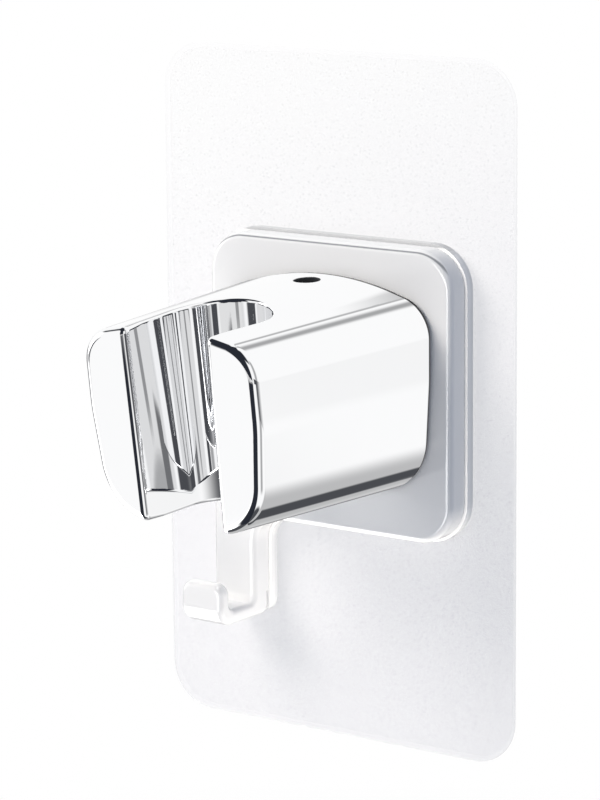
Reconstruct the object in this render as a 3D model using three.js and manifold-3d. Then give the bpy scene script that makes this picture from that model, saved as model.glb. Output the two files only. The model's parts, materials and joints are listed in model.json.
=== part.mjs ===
// Stick-on shower head holder: a chrome cradle that swivels on a square white plate with a hook,
// carried by a clear self-adhesive film. Millimetres, +Z up, the wall is the plane y = 0.
import * as THREE from 'three';
import { mergeVertices } from 'three/addons/utils/BufferGeometryUtils.js';
import Module from 'manifold-3d';

const wasm = await Module();
wasm.setup();

// Film and adhesive
const FILM_WIDTH = 86.2;
const FILM_HEIGHT = 141.8;
const FILM_CORNER = 9.5;
const FILM_THICKNESS = 0.8;
const ADHESIVE_THICKNESS = 0.3;
const ADHESIVE_MARGIN = 1.0;

// Square plate: a front moulding, a stepped backing plate behind it and a foam pad
const PLATE_SIZE = 59;
const PLATE_CORNER = 8.2;
const PLATE_CENTRE_X = 3.55;
const PLATE_CENTRE_Y = 4.2;
const PAD_THICKNESS = 0.6;
const PAD_MARGIN = 4;
const BACKING_THICKNESS = 2.0;
const BACKING_STEP = 0.6;
const BACKING_END_ROUND = 3.2;
const BASE_DEPTH = 5.0;
const BASE_EDGE_ROUND = 1.3;
const BASE_FRONT_WALL = 2.2;
const BASE_RIM_WALL = 2.4;
const SEAT_WALL = 1.6;

// Hook that hangs below the lower left corner of the plate
const STRAP_WIDTH = 10.5;
const STRAP_DROP = 18.1;
const STRAP_FILLET = 5.5;
const HOOK_GAP = 8.3;
const HOOK_WALL = 3.2;
const HOOK_LIP = 5.9;
const HOOK_LIP_BEND = 4.2;
const HOOK_STRAP_BEND = 2.0;
const HOOK_INNER_BEND = 1.6;
const LIP_CORNER = 2.6;

// Cradle, measured from the swivel axis: its outline on the plate
const BACK_PEAK = 25.5;
const BACK_SHOULDER_X = 25.0;
const BACK_SHOULDER_Y = 18.35;
const BACK_SHOULDER_ROUND = 8;
const BACK_WAIST_Y = 3.85;
const BACK_FOOT_X = 23.7;
const BACK_FOOT_Y = -19.35;
const BACK_FOOT_ROUND = 11.5;

// Cradle: the outline of its leaning front face
const FRONT_PEAK = 21.35;
const FRONT_SHOULDER_X = 20.5;
const FRONT_SHOULDER_Y = 17.05;
const FRONT_SHOULDER_ROUND = 7.5;
const FRONT_WAIST_Y = 2.25;
const FRONT_FOOT_X = 18.3;
const FRONT_FOOT_Y = -20.0;
const FRONT_FOOT_ROUND = 12;

// Cradle: crown, reach, front face, wall, and the conical bore with its slot
const CROWN_RADIUS = 60;
const WAIST_RADIUS = 40;
const CRADLE_REACH = 50.4;
const FACE_TILT = THREE.MathUtils.degToRad(7.5);
const FACE_EDGE_ROUND = 1.6;
const CRADLE_WALL = 2.4;
const BORE_SETBACK = 16.3;
const BORE_TOP_RADIUS = 11.0;
const BORE_BOTTOM_RADIUS = 9.8;
const SLOT_TOP_HALF = 9.5;
const SLOT_BOTTOM_HALF = 8.9;

// Swivel: spigot, friction ring, thrust washer and the cap that closes the cradle
const SPIGOT_RADIUS = 8;
const SPIGOT_LENGTH = 13;
const SPIGOT_BORE_RADIUS = 3.5;
const FLANGE_SIZE = 26;
const FLANGE_CORNER = 3;
const RING_SECTION = 0.9;
const RING_STRETCH = 0.2;
const WASHER_THICKNESS = 0.5;
const WASHER_WIDTH = 4;
const CAP_THICKNESS = 2.5;
const COLLAR_WALL = 2.7;
const SWIVEL_LIMIT = THREE.MathUtils.degToRad(45);

// Lock screw in the crown, its brass insert and its groove in the spigot
const LOCK_DEPTH = 7.0;
const LOCK_RADIUS = 2.0;
const LOCK_TIP_RADIUS = 1.3;
const LOCK_TIP_LENGTH = 2.4;
const LOCK_SINK = 4.5;
const LOCK_SOCKET_WIDTH = 2.0;
const LOCK_SOCKET_DEPTH = 2.0;
const LOCK_HOLE_RADIUS = 2.6;
const GROOVE_DEPTH = 2.0;
const INSERT_RADIUS = 3.0;
const INSERT_LENGTH = 6.0;
const INSERT_WALL = 1.3;

// Screws that join the two plates, and the cap to the cradle
const SCREW_RADIUS = 1.2;
const SCREW_HEAD_RADIUS = 2.4;
const SCREW_CROWN_RADIUS = 1.9;
const SCREW_HEAD_HEIGHT = 1.1;
const SCREW_BOSS_WALL = 2.0;
const SCREW_BITE = 7;
const CAP_SCREW_X = 16;
const CAP_SCREW_Y = 9;

// Clearances and smoothness
const FIT_GAP = 0.3;
const CUT_MARGIN = 1;
const ROUND_STEPS = 6;
const TURN_STEPS = 24;
const EDGE_STEPS = 4;
const FLANK_STEPS = 6;

// Depths out of the wall, from the layers above
const filmBack = ADHESIVE_THICKNESS;
const filmFront = filmBack + FILM_THICKNESS;
const backingBack = filmFront + PAD_THICKNESS;
const backingFront = backingBack + BACKING_THICKNESS;
const baseFront = backingFront + BASE_DEPTH;
const pocketFloor = baseFront - BASE_FRONT_WALL;
const cradleBack = baseFront + FIT_GAP;
const capFront = cradleBack + CAP_THICKNESS;
const washerFront = baseFront + WASHER_THICKNESS;
const spigotFront = baseFront + SPIGOT_LENGTH;
const faceDepth = baseFront + CRADLE_REACH;
const lockDepth = baseFront + LOCK_DEPTH;

// Edges of the plate and the hook
const plateHalf = PLATE_SIZE / 2;
const plateLeft = PLATE_CENTRE_X - plateHalf;
const plateBottom = PLATE_CENTRE_Y - plateHalf;
const hookFloor = plateBottom - STRAP_DROP;
const hookUnderside = hookFloor - HOOK_WALL;
const lipBack = baseFront + HOOK_GAP;
const lipFront = lipBack + HOOK_WALL;
const lipTop = hookFloor + HOOK_LIP;
const plateScrewOffset = plateHalf - PLATE_CORNER + SCREW_RADIUS;

// Round parts of the swivel
const collarBore = SPIGOT_RADIUS + FIT_GAP;
const collarRadius = collarBore + COLLAR_WALL;
const insertBottom = collarRadius;
const insertTop = insertBottom + INSERT_LENGTH;
const grooveFloor = SPIGOT_RADIUS - GROOVE_DEPTH;
const screwBossRadius = SCREW_RADIUS + FIT_GAP + SCREW_BOSS_WALL;

const faceSlope = Math.tan(FACE_TILT);
const boreDepth = faceDepth - BORE_SETBACK;
const cavityFront = boreDepth + faceSlope * BACK_FOOT_Y - BORE_BOTTOM_RADIUS - CRADLE_WALL;

const white = { color: 0xf2f3f4, roughness: 0.18, metalness: 0 };
const chrome = { color: 0xe6e8ea, roughness: 0.04, metalness: 1 };
const steel = { color: 0xb9bcc0, roughness: 0.3, metalness: 1 };
const brass = { color: 0xc9a24b, roughness: 0.35, metalness: 1 };
const acetal = { color: 0xd8dadb, roughness: 0.45, metalness: 0 };
const rubber = { color: 0x202224, roughness: 0.7, metalness: 0 };
const foam = { color: 0xe9eaeb, roughness: 0.9, metalness: 0 };
const clearFilm = { color: 0xf6f7f8, roughness: 0.25, metalness: 0, opacity: 0.55, transparent: true };
const tack = { color: 0xf3f3f1, roughness: 0.6, metalness: 0, opacity: 0.5, transparent: true };

// A solid that can be joined and cut, from a closed geometry
function solid(geometry) {
  const bare = geometry.clone();
  bare.deleteAttribute('normal');
  bare.deleteAttribute('uv');
  const merged = mergeVertices(bare, 1e-4);
  const vertProperties = new Float32Array(merged.attributes.position.array);
  const triVerts = new Uint32Array(merged.index.array);
  return new wasm.Manifold(new wasm.Mesh({ numProp: 3, vertProperties, triVerts }));
}

function geometryOf(body) {
  const { vertProperties, triVerts } = body.getMesh();
  const geometry = new THREE.BufferGeometry();
  geometry.setAttribute('position', new THREE.BufferAttribute(vertProperties, 3));
  geometry.setIndex(new THREE.BufferAttribute(triVerts, 1));
  geometry.computeVertexNormals();
  return geometry;
}

function piece(name, body, finish) {
  const mesh = new THREE.Mesh(geometryOf(body), new THREE.MeshStandardMaterial(finish));
  mesh.name = name;
  return mesh;
}

// An outline pushed out of the wall from one depth to another
function slab(shape, from, to) {
  const geometry = new THREE.ExtrudeGeometry(shape, {
    depth: to - from, bevelEnabled: false, curveSegments: ROUND_STEPS,
  });
  return solid(geometry.translate(0, 0, from));
}

// The same with all its edges rounded
function roundedSlab(shape, from, to, round) {
  const geometry = new THREE.ExtrudeGeometry(shape, {
    depth: to - from - 2 * round,
    bevelThickness: round,
    bevelSize: round,
    bevelOffset: -round,
    bevelSegments: EDGE_STEPS - 1,
    curveSegments: ROUND_STEPS,
  });
  return solid(geometry.translate(0, 0, from + round));
}

// A body turned about the axis that points out of the wall, from points of radius and depth
function turned(profile) {
  const points = profile.map(([radius, depth]) => new THREE.Vector2(radius, depth));
  return solid(new THREE.LatheGeometry(points, TURN_STEPS).rotateX(Math.PI / 2));
}

// A round bar along that axis
function bar(radius, from, to) {
  return turned([[0, from], [radius, from], [radius, to], [0, to]]);
}

// A round bar that stands upright at the lock screw's depth
function upright(radius, from, to) {
  const height = to - from;
  const geometry = new THREE.CylinderGeometry(radius, radius, height, TURN_STEPS);
  return solid(geometry.translate(0, from + height / 2, lockDepth));
}

function roundedRectangle(width, height, corner) {
  const x = width / 2;
  const y = height / 2;
  const shape = new THREE.Shape();
  shape.absarc(x - corner, y - corner, corner, 0, Math.PI / 2);
  shape.absarc(corner - x, y - corner, corner, Math.PI / 2, Math.PI);
  shape.absarc(corner - x, corner - y, corner, Math.PI, 1.5 * Math.PI);
  shape.absarc(x - corner, corner - y, corner, 1.5 * Math.PI, 2 * Math.PI);
  return shape;
}

// The plate's outline with the strap that runs down from its lower left corner
function strapOutline(grow, strapEnd) {
  const left = plateLeft - grow;
  const right = plateLeft + PLATE_SIZE + grow;
  const top = plateBottom + PLATE_SIZE + grow;
  const bottom = plateBottom - grow;
  const strapRight = plateLeft + STRAP_WIDTH + grow;
  const corner = PLATE_CORNER + grow;
  const fillet = STRAP_FILLET - grow;
  const shape = new THREE.Shape();
  shape.moveTo(left, strapEnd);
  shape.lineTo(strapRight, strapEnd);
  shape.absarc(strapRight + fillet, bottom - fillet, fillet, Math.PI, Math.PI / 2, true);
  shape.absarc(right - corner, bottom + corner, corner, 1.5 * Math.PI, 2 * Math.PI);
  shape.absarc(right - corner, top - corner, corner, 0, Math.PI / 2);
  shape.absarc(left + corner, top - corner, corner, Math.PI / 2, Math.PI);
  shape.lineTo(left, strapEnd);
  return shape;
}

// Places of the four plate screws, from the plate's centre
function plateScrewPlaces() {
  const signs = [[-1, 1], [1, 1], [1, -1], [-1, -1]];
  return signs.map(([x, y]) => [x * plateScrewOffset, y * plateScrewOffset]);
}

// Places of the four cap screws, from the swivel axis
function capScrewPlaces() {
  const signs = [[-1, 1], [1, 1], [1, -1], [-1, -1]];
  return signs.map(([x, y]) => [x * CAP_SCREW_X, y * CAP_SCREW_Y]);
}

function adhesiveLayer() {
  const shape = roundedRectangle(
    FILM_WIDTH - 2 * ADHESIVE_MARGIN,
    FILM_HEIGHT - 2 * ADHESIVE_MARGIN,
    FILM_CORNER - ADHESIVE_MARGIN,
  );
  return slab(shape, 0, filmBack);
}

function adhesiveFilm() {
  return slab(roundedRectangle(FILM_WIDTH, FILM_HEIGHT, FILM_CORNER), filmBack, filmFront);
}

function bondPad() {
  const size = PLATE_SIZE - 2 * PAD_MARGIN;
  const shape = roundedRectangle(size, size, PLATE_CORNER - PAD_MARGIN);
  return slab(shape, filmFront, backingBack).translate([PLATE_CENTRE_X, PLATE_CENTRE_Y, 0]);
}

// Strip of the backing plate behind the strap, round at its lower end
function backingTongue() {
  const width = STRAP_WIDTH + 2 * BACKING_STEP;
  const height = plateBottom - hookUnderside;
  const shape = roundedRectangle(width, height, BACKING_END_ROUND);
  const tongue = slab(shape, backingBack, backingFront);
  return tongue.translate([plateLeft + STRAP_WIDTH / 2, (plateBottom + hookUnderside) / 2, 0]);
}

function backingPlate() {
  const outline = strapOutline(BACKING_STEP, hookFloor + HOOK_INNER_BEND);
  let plate = slab(outline, backingBack, backingFront).add(backingTongue());
  const hole = bar(SCREW_RADIUS + FIT_GAP, backingBack - CUT_MARGIN, backingFront + CUT_MARGIN);
  const headSeat = backingBack + SCREW_HEAD_HEIGHT + FIT_GAP / 2;
  const sink = bar(SCREW_HEAD_RADIUS + FIT_GAP, backingBack - CUT_MARGIN, headSeat);
  const drill = hole.add(sink);
  for (const [x, y] of plateScrewPlaces()) {
    plate = plate.subtract(drill.translate([PLATE_CENTRE_X + x, PLATE_CENTRE_Y + y, 0]));
  }
  return plate;
}

// Side view of the hook, depth across and height up: strap end, floor and lip
function hookProfile() {
  const strapTop = hookFloor + HOOK_LIP;
  const heel = HOOK_STRAP_BEND;
  const toe = HOOK_LIP_BEND;
  const inner = HOOK_INNER_BEND;
  const tip = HOOK_WALL / 2;
  const shape = new THREE.Shape();
  shape.moveTo(backingFront, strapTop);
  shape.absarc(backingFront + heel, hookUnderside + heel, heel, Math.PI, 1.5 * Math.PI);
  shape.absarc(lipFront - toe, hookUnderside + toe, toe, 1.5 * Math.PI, 2 * Math.PI);
  shape.absarc(lipFront - tip, lipTop - tip, tip, 0, Math.PI);
  shape.absarc(lipBack - inner, hookFloor + inner, inner, 0, -Math.PI / 2, true);
  shape.absarc(baseFront + inner, hookFloor + inner, inner, 1.5 * Math.PI, Math.PI, true);
  shape.lineTo(baseFront, strapTop);
  shape.lineTo(backingFront, strapTop);
  return shape;
}

// The waste outside one rounded top corner of the lip, seen from the front
function lipCornerWaste(side) {
  const edge = plateLeft + (side > 0 ? STRAP_WIDTH : 0);
  const shape = new THREE.Shape();
  const start = side > 0 ? 0 : Math.PI;
  shape.moveTo(edge + side * CUT_MARGIN, lipTop + CUT_MARGIN);
  shape.lineTo(edge + side * CUT_MARGIN, lipTop - LIP_CORNER);
  shape.absarc(edge - side * LIP_CORNER, lipTop - LIP_CORNER, LIP_CORNER, start, Math.PI / 2, side < 0);
  shape.lineTo(edge - side * LIP_CORNER, lipTop + CUT_MARGIN);
  return slab(shape, lipBack - HOOK_GAP / 2, lipFront + CUT_MARGIN);
}

function hook() {
  const round = BASE_EDGE_ROUND;
  const side = roundedSlab(hookProfile(), 0, STRAP_WIDTH, round);
  const upright = side.rotate([0, -90, 0]).translate([plateLeft + STRAP_WIDTH, 0, 0]);
  return upright.subtract(lipCornerWaste(1)).subtract(lipCornerWaste(-1));
}

// Front moulding: plate, strap and hook in one, hollow behind, with a square seat for the spigot
function basePlate() {
  const strapEnd = hookFloor + HOOK_INNER_BEND;
  const outline = strapOutline(0, strapEnd);
  const hidden = backingFront - 2 * BASE_EDGE_ROUND;
  const block = roundedSlab(outline, hidden, baseFront, BASE_EDGE_ROUND);
  const below = slab(outline, hidden - CUT_MARGIN, backingFront);
  const pocketSize = PLATE_SIZE - 2 * BASE_RIM_WALL;
  const pocketShape = roundedRectangle(pocketSize, pocketSize, PLATE_CORNER - BASE_RIM_WALL);
  const pocket = slab(pocketShape, backingFront - CUT_MARGIN, pocketFloor);
  const seatSize = FLANGE_SIZE + 2 * FIT_GAP;
  const seatShape = roundedRectangle(seatSize, seatSize, FLANGE_CORNER);
  const seat = slab(seatShape, backingFront - CUT_MARGIN, pocketFloor);
  const wallSize = seatSize + 2 * SEAT_WALL;
  const wallShape = roundedRectangle(wallSize, wallSize, FLANGE_CORNER + SEAT_WALL);
  let inside = slab(wallShape, backingFront, pocketFloor + CUT_MARGIN).subtract(seat);
  const boss = bar(screwBossRadius, backingFront, pocketFloor + CUT_MARGIN);
  const pilot = bar(SCREW_RADIUS + FIT_GAP, backingFront - CUT_MARGIN, pocketFloor);
  let holes = bar(collarBore, backingFront, baseFront + CUT_MARGIN);
  for (const [x, y] of plateScrewPlaces()) {
    inside = inside.add(boss.translate([x, y, 0]));
    holes = holes.add(pilot.translate([x, y, 0]));
  }
  const place = [PLATE_CENTRE_X, PLATE_CENTRE_Y, 0];
  const shell = block.subtract(below).subtract(pocket.translate(place));
  return shell.add(inside.translate(place)).subtract(holes.translate(place)).add(hook());
}

// Pan-head screw that points out of the wall, its head's back at the given depth
function screw(headBack, length) {
  const neck = headBack + SCREW_HEAD_HEIGHT;
  const tip = neck + length;
  return turned([
    [0, headBack],
    [SCREW_CROWN_RADIUS, headBack],
    [SCREW_HEAD_RADIUS, headBack + SCREW_HEAD_HEIGHT / 2],
    [SCREW_HEAD_RADIUS, neck],
    [SCREW_RADIUS, neck],
    [SCREW_RADIUS, tip - SCREW_RADIUS],
    [0, tip],
  ]);
}

function plateScrew() {
  return screw(backingBack + FIT_GAP / 2, pocketFloor - backingFront);
}

function capScrew() {
  return screw(capFront - CAP_THICKNESS / 2 - SCREW_HEAD_HEIGHT, SCREW_BITE);
}

// Spigot: square flange behind the plate, round stub in front with two grooves
function spigot() {
  const ringHalf = RING_SECTION + FIT_GAP;
  const ringMiddle = spigotFront - 2 * RING_SECTION - FIT_GAP;
  const ringFloor = SPIGOT_RADIUS - 2 * RING_SECTION;
  const stub = turned([
    [SPIGOT_BORE_RADIUS, backingFront],
    [SPIGOT_RADIUS, backingFront],
    [SPIGOT_RADIUS, ringMiddle - ringHalf],
    [ringFloor, ringMiddle - ringHalf],
    [ringFloor, ringMiddle + ringHalf],
    [SPIGOT_RADIUS, ringMiddle + ringHalf],
    [SPIGOT_RADIUS, spigotFront],
    [SPIGOT_BORE_RADIUS, spigotFront],
    [SPIGOT_BORE_RADIUS, backingFront],
  ]);
  const flangeShape = roundedRectangle(FLANGE_SIZE, FLANGE_SIZE, FLANGE_CORNER);
  const bore = bar(SPIGOT_BORE_RADIUS, backingFront - CUT_MARGIN, pocketFloor + CUT_MARGIN);
  const flange = slab(flangeShape, backingFront, pocketFloor).subtract(bore);
  return stub.add(flange).subtract(lockGroove());
}

// Part of a ring round the top of the spigot, in which the lock screw's tip travels
function lockGroove() {
  const half = LOCK_TIP_RADIUS + FIT_GAP;
  const reach = SWIVEL_LIMIT + Math.asin(half / grooveFloor);
  const outer = SPIGOT_RADIUS + CUT_MARGIN;
  const shape = new THREE.Shape();
  shape.absarc(0, 0, outer, Math.PI / 2 - reach, Math.PI / 2 + reach);
  shape.absarc(0, 0, grooveFloor, Math.PI / 2 + reach, Math.PI / 2 - reach, true);
  const geometry = new THREE.ExtrudeGeometry(shape, {
    depth: 2 * half, bevelEnabled: false, curveSegments: 2 * ROUND_STEPS,
  });
  return solid(geometry.translate(0, 0, lockDepth - half));
}

function frictionRing() {
  const middle = spigotFront - 2 * RING_SECTION - FIT_GAP;
  const centre = SPIGOT_RADIUS - RING_SECTION + RING_STRETCH;
  const profile = [];
  for (let step = 0; step <= 2 * ROUND_STEPS; step += 1) {
    const angle = Math.PI * step / ROUND_STEPS;
    profile.push([centre + RING_SECTION * Math.cos(angle), middle + RING_SECTION * Math.sin(angle)]);
  }
  return turned(profile);
}

function thrustWasher() {
  const outer = collarBore + WASHER_WIDTH;
  return turned([
    [collarBore, baseFront],
    [outer, baseFront],
    [outer, washerFront],
    [collarBore, washerFront],
    [collarBore, baseFront],
  ]);
}

// Corner rounded by an arc that touches both of its sides
function roundedCorner(before, corner, after, radius) {
  const toBefore = before.clone().sub(corner).normalize();
  const toAfter = after.clone().sub(corner).normalize();
  const half = toBefore.angleTo(toAfter) / 2;
  const inward = toBefore.clone().add(toAfter).normalize();
  const centre = corner.clone().addScaledVector(inward, radius / Math.sin(half));
  const sweep = Math.PI - 2 * half;
  const middle = inward.clone().negate().angle();
  const points = [];
  for (let step = 0; step <= ROUND_STEPS; step += 1) {
    const angle = middle + sweep * (step / ROUND_STEPS - 0.5);
    points.push(new THREE.Vector2(Math.cos(angle), Math.sin(angle)).multiplyScalar(radius).add(centre));
  }
  return points;
}

// Cross-section of the cradle: 0 at the plate, 1 at the front face, drawn in by an inset
function cradleSection(along, inset) {
  const between = (back, front) => THREE.MathUtils.lerp(back, front, along);
  const peak = between(BACK_PEAK, FRONT_PEAK) - inset;
  const shoulderX = between(BACK_SHOULDER_X, FRONT_SHOULDER_X) - inset;
  const shoulderY = between(BACK_SHOULDER_Y, FRONT_SHOULDER_Y) - inset;
  const waistY = between(BACK_WAIST_Y, FRONT_WAIST_Y);
  const footX = between(BACK_FOOT_X, FRONT_FOOT_X) - inset;
  const footY = between(BACK_FOOT_Y, FRONT_FOOT_Y) + inset;
  const shoulderRound = between(BACK_SHOULDER_ROUND, FRONT_SHOULDER_ROUND) - inset;
  const footRound = between(BACK_FOOT_ROUND, FRONT_FOOT_ROUND) - inset;
  const corners = [
    [0, peak, CROWN_RADIUS],
    [-shoulderX, shoulderY, shoulderRound],
    [-shoulderX, waistY, WAIST_RADIUS],
    [-footX, footY, footRound],
    [footX, footY, footRound],
    [shoulderX, waistY, WAIST_RADIUS],
    [shoulderX, shoulderY, shoulderRound],
  ];
  const points = corners.map(([x, y]) => new THREE.Vector2(x, y));
  return corners.flatMap(([, , radius], i) => {
    const before = points[(i + corners.length - 1) % corners.length];
    const after = points[(i + 1) % corners.length];
    return roundedCorner(before, points[i], after, radius);
  });
}

// Depth of the leaning front face at a height above the swivel axis
function faceDepthAt(height) {
  return faceDepth + faceSlope * height;
}

// A flat ring of points round the cradle at one depth
function flatRing(depth, inset) {
  const along = (depth - cradleBack) / (faceDepth - cradleBack);
  return cradleSection(along, inset).map(({ x, y }) => new THREE.Vector3(x, y, depth));
}

// A ring of points that leans more and more from the plate to the front face
function cradleRing(along, inset, setback) {
  return cradleSection(along, inset).map(({ x, y }) => {
    const depth = THREE.MathUtils.lerp(cradleBack, faceDepthAt(y), along) - setback;
    return new THREE.Vector3(x, y, depth);
  });
}

// A closed skin through rings with equal counts of points, flat at both ends
function loft(rings) {
  const count = rings[0].length;
  const last = (rings.length - 1) * count;
  const index = [];
  for (let ring = 0; ring < rings.length - 1; ring += 1) {
    for (let i = 0; i < count; i += 1) {
      const here = ring * count + i;
      const next = ring * count + (i + 1) % count;
      index.push(here, next, next + count, here, next + count, here + count);
    }
  }
  for (let i = 1; i < count - 1; i += 1) {
    index.push(0, i + 1, i, last, last + i, last + i + 1);
  }
  const geometry = new THREE.BufferGeometry().setFromPoints(rings.flat());
  geometry.setIndex(index);
  return solid(geometry);
}

// Outer skin of the cradle: straight flanks and a rounded front edge
function cradleSkin() {
  const edgeStart = 1 - FACE_EDGE_ROUND / CRADLE_REACH;
  const rings = [];
  for (let step = 0; step < FLANK_STEPS; step += 1) {
    rings.push(cradleRing(edgeStart * step / FLANK_STEPS, 0, 0));
  }
  for (let step = 0; step <= EDGE_STEPS; step += 1) {
    const angle = Math.PI / 2 * step / EDGE_STEPS;
    const inset = FACE_EDGE_ROUND * (1 - Math.cos(angle));
    const setback = FACE_EDGE_ROUND * (1 - Math.sin(angle));
    rings.push(cradleRing(1, inset, setback));
  }
  return loft(rings);
}

// Hollow behind the bore, open at the plate
function cradleCavity() {
  return loft([flatRing(cradleBack - CUT_MARGIN, CRADLE_WALL), flatRing(cavityFront, CRADLE_WALL)]);
}

// Cone for the hand shower, leaning forward with the front face
function cradleBore() {
  const height = BACK_PEAK - FRONT_FOOT_Y;
  const middle = (BACK_PEAK + FRONT_FOOT_Y) / 2;
  const taper = (BORE_TOP_RADIUS - BORE_BOTTOM_RADIUS) / height;
  const over = CUT_MARGIN + CRADLE_WALL;
  const geometry = new THREE.CylinderGeometry(
    BORE_TOP_RADIUS + taper * over,
    BORE_BOTTOM_RADIUS - taper * over,
    height + 2 * over,
    2 * TURN_STEPS,
  );
  geometry.rotateX(FACE_TILT);
  return solid(geometry.translate(0, middle, boreDepth + faceSlope * middle));
}

// Slot through which the hose is passed, narrowing from the bore to the front face
function cradleSlot() {
  const top = BACK_PEAK + CUT_MARGIN;
  const bottom = FRONT_FOOT_Y - CUT_MARGIN;
  const wall = (topHalf, bottomHalf, setback) => [
    new THREE.Vector3(topHalf, top, faceDepthAt(top) - setback),
    new THREE.Vector3(-topHalf, top, faceDepthAt(top) - setback),
    new THREE.Vector3(-bottomHalf, bottom, faceDepthAt(bottom) - setback),
    new THREE.Vector3(bottomHalf, bottom, faceDepthAt(bottom) - setback),
  ];
  return loft([
    wall(BORE_TOP_RADIUS, BORE_BOTTOM_RADIUS, BORE_SETBACK),
    wall(SLOT_TOP_HALF, SLOT_BOTTOM_HALF, 0),
    wall(SLOT_TOP_HALF, SLOT_BOTTOM_HALF, -CUT_MARGIN),
  ]);
}

function cradle() {
  const boss = bar(screwBossRadius, capFront, cavityFront + CUT_MARGIN);
  const pilot = bar(SCREW_RADIUS + FIT_GAP, capFront - CUT_MARGIN, capFront + SCREW_BITE);
  let body = cradleSkin().subtract(cradleCavity());
  for (const [x, y] of capScrewPlaces()) {
    body = body.add(boss.translate([x, y, 0])).subtract(pilot.translate([x, y, 0]));
  }
  const lockHole = upright(LOCK_HOLE_RADIUS, insertTop, BACK_PEAK + CUT_MARGIN);
  return body.subtract(cradleBore()).subtract(cradleSlot()).subtract(lockHole);
}

// Cap inside the cradle's mouth, with the collar that turns on the spigot
function rearCap() {
  const inset = CRADLE_WALL + FIT_GAP;
  let cap = loft([flatRing(cradleBack, inset), flatRing(capFront, inset)]);
  cap = cap.add(bar(collarRadius, cradleBack, spigotFront));
  cap = cap.add(upright(INSERT_RADIUS + INSERT_WALL, 0, insertTop));
  cap = cap.subtract(bar(collarBore, cradleBack - CUT_MARGIN, spigotFront + CUT_MARGIN));
  const seatRadius = collarBore + WASHER_WIDTH + FIT_GAP;
  cap = cap.subtract(bar(seatRadius, cradleBack - CUT_MARGIN, washerFront + FIT_GAP));
  cap = cap.subtract(upright(INSERT_RADIUS + FIT_GAP / 2, insertBottom, insertTop + CUT_MARGIN));
  cap = cap.subtract(upright(LOCK_RADIUS + FIT_GAP, 0, BACK_PEAK));
  const hole = bar(SCREW_RADIUS + FIT_GAP, cradleBack - CUT_MARGIN, capFront + CUT_MARGIN);
  const sink = bar(SCREW_HEAD_RADIUS + FIT_GAP, cradleBack - CUT_MARGIN, capFront - CAP_THICKNESS / 2);
  const drill = hole.add(sink);
  for (const [x, y] of capScrewPlaces()) {
    cap = cap.subtract(drill.translate([x, y, 0]));
  }
  return cap;
}

function threadInsert() {
  const sleeve = upright(INSERT_RADIUS, insertBottom, insertTop);
  const thread = upright(LOCK_RADIUS + FIT_GAP / 2, insertBottom - CUT_MARGIN, insertTop + CUT_MARGIN);
  return sleeve.subtract(thread);
}

// Grub screw with a dog point and a hexagon socket
function lockScrew() {
  const top = BACK_PEAK - LOCK_SINK;
  const tip = grooveFloor + FIT_GAP;
  const shank = upright(LOCK_RADIUS, tip + LOCK_TIP_LENGTH, top);
  const point = upright(LOCK_TIP_RADIUS, tip, tip + LOCK_TIP_LENGTH + CUT_MARGIN);
  const hexagon = new THREE.CylinderGeometry(
    LOCK_SOCKET_WIDTH / Math.sqrt(3),
    LOCK_SOCKET_WIDTH / Math.sqrt(3),
    2 * LOCK_SOCKET_DEPTH,
    6,
  );
  return shank.add(point).subtract(solid(hexagon.translate(0, top, lockDepth)));
}

// The wall frame: x to the right, y up, z out of the wall
const wallFrame = new THREE.Group();
wallFrame.add(piece('adhesive_layer', adhesiveLayer(), tack));
wallFrame.add(piece('adhesive_film', adhesiveFilm(), clearFilm));
wallFrame.add(piece('bond_pad', bondPad(), foam));
wallFrame.add(piece('backing_plate', backingPlate(), white));
wallFrame.add(piece('base_plate', basePlate(), white));

// What is centred on the swivel axis
const swivel = new THREE.Group();
swivel.position.set(PLATE_CENTRE_X, PLATE_CENTRE_Y, 0);
plateScrewPlaces().forEach(([x, y], i) => {
  const mesh = piece(`plate_screw_${i + 1}`, plateScrew(), steel);
  mesh.position.set(x, y, 0);
  swivel.add(mesh);
});
swivel.add(piece('spigot', spigot(), acetal));
swivel.add(piece('friction_ring', frictionRing(), rubber));
swivel.add(piece('thrust_washer', thrustWasher(), acetal));
swivel.add(piece('rear_cap', rearCap(), acetal));
swivel.add(piece('thread_insert', threadInsert(), brass));
swivel.add(piece('lock_screw', lockScrew(), steel));
swivel.add(piece('cradle', cradle(), chrome));
capScrewPlaces().forEach(([x, y], i) => {
  const mesh = piece(`cap_screw_${i + 1}`, capScrew(), steel);
  mesh.position.set(x, y, 0);
  swivel.add(mesh);
});
wallFrame.add(swivel);

const holder = new THREE.Group();
wallFrame.rotation.x = Math.PI / 2;
holder.add(wallFrame);

export default holder;
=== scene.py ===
"""Finished surfaces of the stick-on shower head holder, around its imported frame."""
import json
import math

import bmesh
import bpy
import numpy as np
from bpy.props import FloatProperty, FloatVectorProperty, IntProperty, PointerProperty
from bpy.types import Operator, Panel, PropertyGroup
from mathutils import Matrix, Vector


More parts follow.
